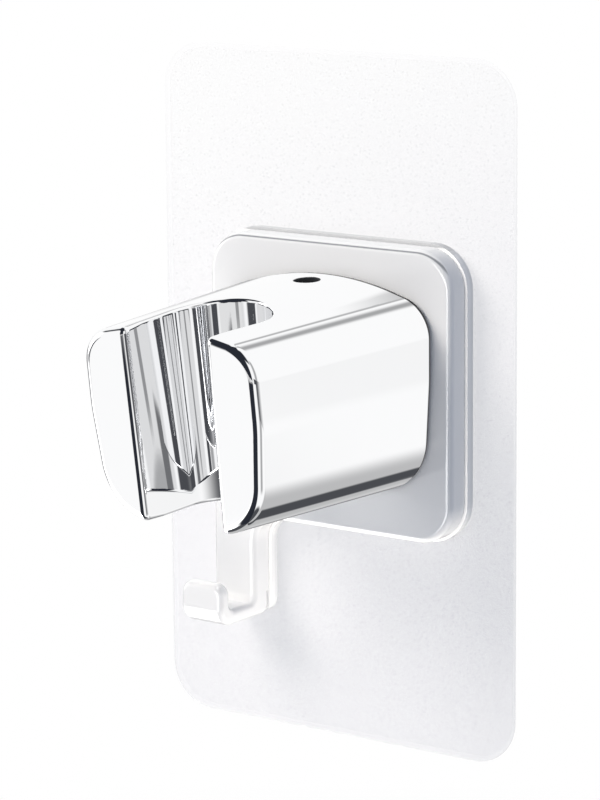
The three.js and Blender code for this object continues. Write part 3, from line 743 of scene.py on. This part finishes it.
def field_skin(field, low, high, facet):
    """Points and four-sided faces of the closed skin on which a field is nought."""
    counts = np.ceil((high - low) / facet).astype(int) + 1
    ticks = [low[axis] + facet * np.arange(counts[axis]) for axis in range(3)]
    grid = np.stack(np.meshgrid(*ticks, indexing="ij"), axis=-1)
    value = field(grid.reshape(-1, 3)).reshape(counts)
    strides = np.array([counts[1] * counts[2], counts[2], 1])
    owners, crossings, faces = [], [], []
    for axis in range(3):
        first = np.take(value, range(counts[axis] - 1), axis)
        second = np.take(value, range(1, counts[axis]), axis)
        spots = np.argwhere((first < 0) != (second < 0))
        start = first[tuple(spots.T)]
        stop = second[tuple(spots.T)]
        place = spots.astype(float)
        place[:, axis] += start / (start - stop)
        b, c = (axis + 1) % 3, (axis + 2) % 3
        around = []
        for db, dc in ((1, 1), (0, 1), (0, 0), (1, 0)):
            cell = spots.copy()
            cell[:, b] -= db
            cell[:, c] -= dc
            around.append(cell @ strides)
        owners.extend(around)
        crossings.extend([place] * 4)
        quads = np.stack(around, axis=1)
        leaving = start < 0
        quads[~leaving] = quads[~leaving][:, ::-1]
        faces.append(quads)
    cells, vertex = np.unique(np.concatenate(owners), return_inverse=True)
    places = np.concatenate(crossings)
    share_count = np.bincount(vertex)
    middle = np.stack([np.bincount(vertex, places[:, axis]) for axis in range(3)], axis=1)
    points = low + facet * middle / share_count[:, None]
    return points, np.searchsorted(cells, np.concatenate(faces))


def settle(field, points, most):
    """Moves points onto the surface of a field."""
    for _ in range(SETTLE_ROUNDS):
        slope = field_slope(field, points)
        steepness = np.maximum((slope * slope).sum(1, keepdims=True), LEAST_STEEPNESS)
        step = field(points)[:, None] * slope / steepness
        points = points - np.clip(step, -most, most)
    return points


def to_room(points, centre):
    """From across, up and out to the room's axes."""
    return np.stack([points[:, 0] + centre.x, -points[:, 2], points[:, 1] + centre.z], axis=1)


def mesh_points(mesh):
    """Places of a mesh's points."""
    points = np.empty(3 * len(mesh.vertices))
    mesh.vertices.foreach_get("co", points)
    return points.reshape(-1, 3)


def unit_slope(field, points):
    """Outward direction of a field at points."""
    slope = field_slope(field, points)
    return slope / np.maximum(np.linalg.norm(slope, axis=1, keepdims=True), TINY)


def refine(field, mesh, sizes):
    """Splits the edges over which the surface turns too far, and settles the new points."""
    points = mesh_points(mesh)
    slope = unit_slope(field, points)
    tips = np.empty(2 * len(mesh.edges), dtype=np.int32)
    mesh.edges.foreach_get("vertices", tips)
    first, second = tips[::2], tips[1::2]
    turned = np.arccos(np.clip((slope[first] * slope[second]).sum(1), -1, 1))
    run = np.linalg.norm(points[first] - points[second], axis=1)
    touched = np.zeros(len(points), dtype=bool)
    touched[tips.reshape(-1, 2)[turned > sizes.bend]] = True
    bent = ((touched[first] | touched[second]) & (run > sizes.finest)) | (turned > sizes.sharp)
    work = bmesh.new()
    work.from_mesh(mesh)
    work.edges.ensure_lookup_table()
    chosen = [work.edges[number] for number in np.flatnonzero(bent)]
    bmesh.ops.subdivide_edges(work, edges=chosen, cuts=1, use_grid_fill=True)
    bmesh.ops.triangulate(work, faces=[face for face in work.faces if len(face.verts) > 4])
    work.to_mesh(mesh)
    work.free()
    mesh.vertices.foreach_set("co", settle(field, mesh_points(mesh), sizes.finest).ravel())


def field_piece(name, shape, sizes, node, centre, body):
    """A piece that follows a field in a node's box, finer where it bends, with the field's own normals."""
    def field(points):
        return shape(sizes, points)

    node_low, node_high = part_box(node)
    margin = 2 * sizes.facet
    low = np.array([node_low.x - centre.x, node_low.z - centre.z, -node_high.y]) - margin
    high = np.array([node_high.x - centre.x, node_high.z - centre.z, -node_low.y]) + margin
    points, faces = field_skin(field, low, high, sizes.facet)
    mesh = bpy.data.meshes.new(name)
    mesh.from_pydata(settle(field, points, sizes.facet / 2).tolist(), [], faces.tolist())
    for _ in range(REFINE_ROUNDS):
        refine(field, mesh, sizes)
    points = mesh_points(mesh)
    slope = unit_slope(field, points)
    mesh.vertices.foreach_set("co", to_room(points, centre).ravel())
    mesh.shade_smooth()
    mesh.normals_split_custom_set_from_vertices(to_room(slope, Vector()).tolist())
    return new_piece(name, mesh, body)


def new_piece(name, mesh, body):
    """Links a mesh as a piece that moves with a body."""
    piece = bpy.data.objects.new(name, mesh)
    bpy.context.scene.collection.objects.link(piece)
    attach(piece, body)
    return piece


def rounded_outline(low, high, corner, steps):
    """Points round a rectangle with round corners, across and up."""
    points = []
    left, right = low.x + corner, high.x - corner
    bottom, top = low.z + corner, high.z - corner
    centres = ((right, top), (left, top), (left, bottom), (right, bottom))
    for quarter, (x, up) in enumerate(centres):
        for step in range(steps + 1):
            turn = (quarter + step / steps) * math.pi / 2
            points.append((x + corner * math.cos(turn), up + corner * math.sin(turn)))
    return points


class HOLDER_OT_film(Operator):
    """Film with rounded edges, and the finish of the adhesive and the foam pad"""

    bl_idname = "holder.film"
    bl_label = "Film and pads"

    def execute(self, context):
        sizes = context.scene.plate_sizes
        colours = context.scene.holder_colours
        work = bmesh.new()
        outline = rounded_outline(FILM_LOW, FILM_HIGH, sizes.film_corner, CORNER_STEPS)
        front_y = FILM_LOW.y + sizes.film_gap
        back_y = FILM_HIGH.y - sizes.film_gap
        front = work.faces.new([work.verts.new((x, front_y, up)) for x, up in outline])
        grown = bmesh.ops.extrude_face_region(work, geom=[front])
        back = [item for item in grown["geom"] if isinstance(item, bmesh.types.BMVert)]
        bmesh.ops.translate(work, verts=back, vec=(0, back_y - front_y, 0))
        bmesh.ops.recalc_face_normals(work, faces=work.faces)
        rims = [edge for edge in work.edges if max(len(face.verts) for face in edge.link_faces) > 4]
        bmesh.ops.bevel(
            work, geom=rims, offset=sizes.film_edge, segments=EDGE_SEGMENTS, profile=0.5, affect="EDGES"
        )
        for face in work.faces:
            face.smooth = len(face.verts) == 4
            face.material_index = 1 if len(face.verts) == 4 else 0
        mesh = bpy.data.meshes.new("clear_film")
        work.to_mesh(mesh)
        work.free()
        mesh.materials.append(film_finish("milky_film", colours.film, colours.film_cover))
        # The edge faces get the lighter colour and less cover, as a painted highlight
        mesh.materials.append(film_finish("film_edge", colours.film_rim_highlight, colours.rim_cover))
        film = new_piece("clear_film", mesh, "wall_base")
        film.visible_glossy = False
        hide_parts("adhesive_film")
        finish_node("adhesive_layer", tack_finish(colours)).visible_glossy = False
        finish_node("bond_pad", foam_finish(colours)).visible_glossy = False
        return {"FINISHED"}


class HOLDER_OT_plate(Operator):
    """White plate with strap and hook, and the stepped backing plate behind it"""

    bl_idname = "holder.plate"
    bl_label = "Plate and hook"

    def execute(self, context):
        sizes = context.scene.plate_sizes
        colours = context.scene.holder_colours
        plate = field_piece("plate_with_hook", plate_field, sizes, "base_plate", Vector(), "wall_base")
        plate.data.materials.append(plastic_finish(colours, "white_moulding", plate_painted_shade))
        plate.visible_glossy = False
        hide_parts("base_plate")
        backing = finish_node("backing_plate", plastic_finish(colours, "white_backing", backing_painted_shade))
        backing.visible_glossy = False
        bevel = backing.modifiers.new("edge", "BEVEL")
        bevel.width = sizes.backing_edge
        bevel.segments = EDGE_SEGMENTS
        bevel.limit_method = "ANGLE"
        bevel.angle_limit = sizes.backing_bend
        bevel.harden_normals = True
        for lamp in (EDGE_LAMP, FILL_LAMP, STRAP_LAMP):
            self.light_only(lamp, plate, backing)
        self.light_only(LEDGE_LAMP, backing)
        return {"FINISHED"}

    def light_only(self, lamp, *pieces):
        """Keeps a lamp's light to the given pieces."""
        lit_pieces = bpy.data.collections.new(lamp + "_pieces")
        for piece in pieces:
            lit_pieces.objects.link(piece)
        bpy.data.objects[lamp].light_linking.receiver_collection = lit_pieces


class HOLDER_OT_cradle(Operator):
    """Chrome cradle with its conical bore, slot and hollow back"""

    bl_idname = "holder.cradle"
    bl_label = "Cradle"

    def execute(self, context):
        sizes = context.scene.cradle_sizes
        colours = context.scene.holder_colours
        centre = Vector((SWIVEL.x, 0, SWIVEL.z))
        cradle = field_piece("chrome_cradle", cradle_field, sizes, "cradle", centre, "cradle_body")
        cradle.data.materials.append(chrome_finish(colours, sizes))
        cradle.data.materials.append(shade_black_finish(colours))
        self.shade_black_lock_hole(cradle.data, sizes, centre)
        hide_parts("cradle")
        return {"FINISHED"}

    def shade_black_lock_hole(self, mesh, sizes, centre):
        """Gives the faces in the crown's hole the near-black finish, as painted shade."""
        middles = np.empty(3 * len(mesh.polygons))
        mesh.polygons.foreach_get("center", middles)
        across, depth, up = middles.reshape(-1, 3).T
        reach = np.hypot(across - centre.x, depth + PLATE_FRONT + sizes.lock_depth)
        inside = reach < sizes.lock_radius + sizes.lock_edge / 2
        shade_black = inside & (up > centre.z + sizes.lock_floor - sizes.wall)
        mesh.polygons.foreach_set("material_index", shade_black.astype(np.int32))


class HOLDER_OT_swivel(Operator):
    """Finishes of the spigot, ring, washer, cap, insert and screws"""

    bl_idname = "holder.swivel"
    bl_label = "Swivel and screws"

    def execute(self, context):
        colours = context.scene.holder_colours
        acetal = acetal_finish(colours)
        steel = steel_finish(colours)
        rubber = rubber_finish(colours)
        for number in range(1, SCREWS_PER_SET + 1):
            finish_node(f"plate_screw_{number}", steel).visible_glossy = False
            finish_node(f"cap_screw_{number}", steel)
        finish_node("lock_screw", steel)
        finish_node("rear_cap", acetal)
        finish_node("thread_insert", brass_finish(colours))
        for node, finish in (("spigot", acetal), ("thrust_washer", acetal), ("friction_ring", rubber)):
            finish_node(node, finish).visible_glossy = False
        return {"FINISHED"}


class HOLDER_OT_stage(Operator):
    """Floor, room, lamps and camera"""

    bl_idname = "holder.stage"
    bl_label = "Stage"

    def execute(self, context):
        scene = context.scene
        studio = scene.studio_settings
        scene.view_settings.view_transform = "Standard"
        scene.cycles.glossy_bounces = studio.reflections
        self.add_camera(scene, studio)
        self.add_room(scene, studio)
        self.add_lamps(scene, studio)
        self.add_floor(scene, studio)
        return {"FINISHED"}

    def add_camera(self, scene, studio):
        """A camera at the photograph's angle."""
        data = bpy.data.cameras.new("camera")
        data.lens = studio.lens
        data.clip_start = studio.near
        camera = bpy.data.objects.new("camera", data)
        scene.collection.objects.link(camera)
        place = Vector(studio.camera)
        forward = (Vector(studio.target) - place).normalized()
        right = forward.cross(Vector((0, 0, 1))).normalized()
        upright = right.cross(forward)
        turned_right = math.cos(studio.roll) * right + math.sin(studio.roll) * upright
        turned_up = turned_right.cross(forward)
        axes = Matrix((turned_right, turned_up, -forward)).transposed()
        camera.matrix_world = Matrix.Translation(place) @ axes.to_4x4()
        scene.camera = camera

    def add_room(self, scene, studio):
        """White to the camera, an even light, and cards and strips for the chrome to reflect."""
        colours = scene.holder_colours
        world = bpy.data.worlds.new("room")
        scene.world = world
        desk = Desk(world)
        across = desk.axis(desk.add("ShaderNodeTexCoord", {}, {}, "Generated"), "X")
        depth = across.part("Y")
        rise = across.part("Z").maths("ARCSINE") * DEGREES
        turn = across.maths("ARCTAN2", -depth) * DEGREES
        rear = (-across).maths("ARCTAN2", depth) * DEGREES
        dark = self.dark_cards(turn, rise).most(self.rear_cards(rear, rise))
        bright = 1 + studio.strip_light * self.bright_strips(turn, rise)
        cards = desk.blend(dark, WHITE, colours.card)
        lit_cards = desk.add("ShaderNodeVectorMath", {"operation": "SCALE"}, {0: cards, "Scale": bright})
        camera_ray = desk.add("ShaderNodeLightPath", {}, {}, "Is Camera Ray")
        clear = camera_ray.most(camera_ray.part("Is Transmission Ray"))
        glossy = camera_ray.part("Is Glossy Ray")
        unseen = desk.blend(glossy, shade(colours.room, studio.room_light), lit_cards)
        background = desk.add("ShaderNodeBackground", {}, {"Color": desk.blend(clear, unseen, WHITE)})
        desk.add("ShaderNodeOutputWorld", {}, {"Surface": background})

    def dark_cards(self, turn, rise):
        """Dark cards in front of the holder, with a window whose stripes the bore reflects.

        All cards are placed in degrees: turn is to the right of straight ahead, rise is above the level,
        and a band's last number is the softness of its ends.
        """
        above = rise.smooth(-17.5, -16.7)
        below = 0.6 * (1 - rise.smooth(-21.7, -21.0)) + 0.4 * (1 - rise.smooth(-23.6, -22.0))
        front = turn.band(-32, 27, 3) * (above + below)
        overhead = turn.band(-80, 55, 8) * rise.band(26, 72, 4)
        wash = 0.24 * rise.band(-23, -16, 1) * turn.band(-32, 33, 3)
        wash = wash.most(0.85 * turn.band(7, 24, 2.5) * rise.band(-22.6, -20.4, 0.3))
        fade = turn.smooth(39, 44) * (1 - turn.smooth(64, 122))
        narrow = (0.75 * turn.band(-11, -3.5, 1)).most(turn.band(-58, -46, 1))
        stripes = narrow.most(fade, 0.65 * turn.band(-74, -60, 4))
        window = 0.95 * rise.band(-21.1, -10, 0.7) * stripes
        edge = 0.62 * turn.band(60, 84, 8) * rise.band(-38, 40, 6)
        low = 0.95 * turn.band(-120, 120, 8) * (1 - rise.smooth(-64, -56))
        return front.most(overhead, edge, low, wash, window)

    def rear_cards(self, rear, rise):
        """Soft lines behind the holder for its shoulder, and the dark ground that its foot reflects.

        rear is in degrees from straight behind, towards the left.
        """
        behind = 1 - rear.maths("ABSOLUTE").smooth(50, 70)
        lines = 0.55 * rear.band(20.5, 25.5, 2) * rise.smooth(28, 31)
        lines = lines + 0.62 * rear.band(-5, 11, 6) * rise.smooth(33, 37)
        outline = 0.7 * rear.band(-12, 92, 6) * rise.band(-28, -4, 3)
        haze = 0.075 * rise.band(-13, -9, 3.5)
        ground = 0.5 * (1 - rise.smooth(-38, -17))
        foot = 0.95 * rear.band(-17, 12, 5) * (1 - rise.smooth(-41, -33))
        heel = 0.4 * rear.band(9, 48, 5) * (1 - rise.smooth(-22, -12))
        return (behind * lines.most(haze, ground, foot, heel)).most(outline)

    def bright_strips(self, turn, rise):
        """Bright strips beside and below the holder, for the light lines on its rounded edges."""
        gap = rise.band(-18.5, -11.5, 1)
        left = 0.4 * turn.band(-84, -62, 3) * rise.band(-30, 20, 3) * (1 - gap)
        low = turn.band(-115, -38, 3) * rise.band(-56, -27, 2)
        return left.most(low)

    def add_lamps(self, scene, studio):
        """Lamps whose level is the light on a surface that faces them, and one for shine alone."""
        for name, place, size, level in (
            ("key_lamp", studio.key_place, studio.key_size, studio.key_light),
            (FILL_LAMP, studio.fill_place, studio.fill_size, studio.fill_light),
            (STRAP_LAMP, studio.strap_place, studio.strap_size, studio.strap_light),
            (LEDGE_LAMP, studio.ledge_place, studio.ledge_size, studio.ledge_light),
            ("back_lamp", studio.back_place, studio.back_size, studio.back_light),
        ):
            energy = level * math.pi ** 2 * Vector(place).length_squared
            lamp = self.add_lamp(scene, name, Vector(place), size, energy)
            lamp.visible_glossy = False
            lamp.data.color = scene.holder_colours.lamps
        energy = studio.strip_light * math.pi * studio.edge_size ** 2
        edge = self.add_lamp(scene, EDGE_LAMP, Vector(studio.edge_place), studio.edge_size, energy)
        edge.visible_diffuse = False

    def add_lamp(self, scene, name, place, size, energy):
        """A square lamp that faces the origin."""
        data = bpy.data.lights.new(name, "AREA")
        data.shape = "SQUARE"
        data.size = size
        data.energy = energy
        lamp = bpy.data.objects.new(name, data)
        scene.collection.objects.link(lamp)
        turned = place.to_track_quat("Z", "Y").to_matrix().to_4x4()
        lamp.matrix_world = Matrix.Translation(place) @ turned
        lamp.visible_camera = False
        return lamp

    def add_floor(self, scene, studio):
        """A round pale floor that fades out towards its rim."""
        work = bmesh.new()
        bmesh.ops.create_circle(work, cap_ends=True, radius=studio.floor_radius, segments=FLOOR_SEGMENTS)
        bmesh.ops.translate(work, verts=work.verts, vec=(0, 0, -studio.floor_drop))
        mesh = bpy.data.meshes.new("floor")
        work.to_mesh(mesh)
        work.free()
        floor = bpy.data.objects.new("floor", mesh)
        scene.collection.objects.link(floor)
        desk, place = new_desk("pale_floor")
        away = desk.add("ShaderNodeVectorMath", {"operation": "LENGTH"}, {0: place}, "Value")
        fade = 1 - away.smooth(0.45 * studio.floor_radius, 0.95 * studio.floor_radius)
        tone = scene.holder_colours.floor
        cloud = desk.noise(place, 6.0, 2.0)
        mesh.materials.append(desk.finish({
            "Base Color": desk.blend(cloud, shade(tone, 0.99), tone),
            "Roughness": 0.6,
            "Specular IOR Level": 0.2,
            "Alpha": fade,
        }))
        floor.visible_glossy = False


class HOLDER_PT_build(Panel):
    """Lists the steps that build the holder"""

    bl_idname = "HOLDER_PT_build"
    bl_label = "Shower Head Holder"
    bl_space_type = "VIEW_3D"
    bl_region_type = "UI"
    bl_category = "Holder"

    def draw(self, context):
        for step in STEPS:
            self.layout.operator(step.bl_idname)


STEPS = (HOLDER_OT_stage, HOLDER_OT_film, HOLDER_OT_plate, HOLDER_OT_cradle, HOLDER_OT_swivel)
GROUPS = {
    "cradle_sizes": CradleSizes,
    "plate_sizes": PlateSizes,
    "holder_colours": HolderColours,
    "studio_settings": StudioSettings,
}


def register():
    """Makes the settings, steps and panel known to Blender."""
    for name, group in GROUPS.items():
        bpy.utils.register_class(group)
        setattr(bpy.types.Scene, name, PointerProperty(type=group))
    for step in (*STEPS, HOLDER_PT_build):
        bpy.utils.register_class(step)


def unregister():
    """Takes them away again."""
    for step in (HOLDER_PT_build, *reversed(STEPS)):
        bpy.utils.unregister_class(step)
    for name, group in reversed(GROUPS.items()):
        delattr(bpy.types.Scene, name)
        bpy.utils.unregister_class(group)


def main():
    """Builds the holder step by step."""
    register()
    bpy.ops.holder.stage()
    bpy.ops.holder.film()
    bpy.ops.holder.plate()
    bpy.ops.holder.cradle()
    bpy.ops.holder.swivel()


if __name__ == "__main__":
    main()
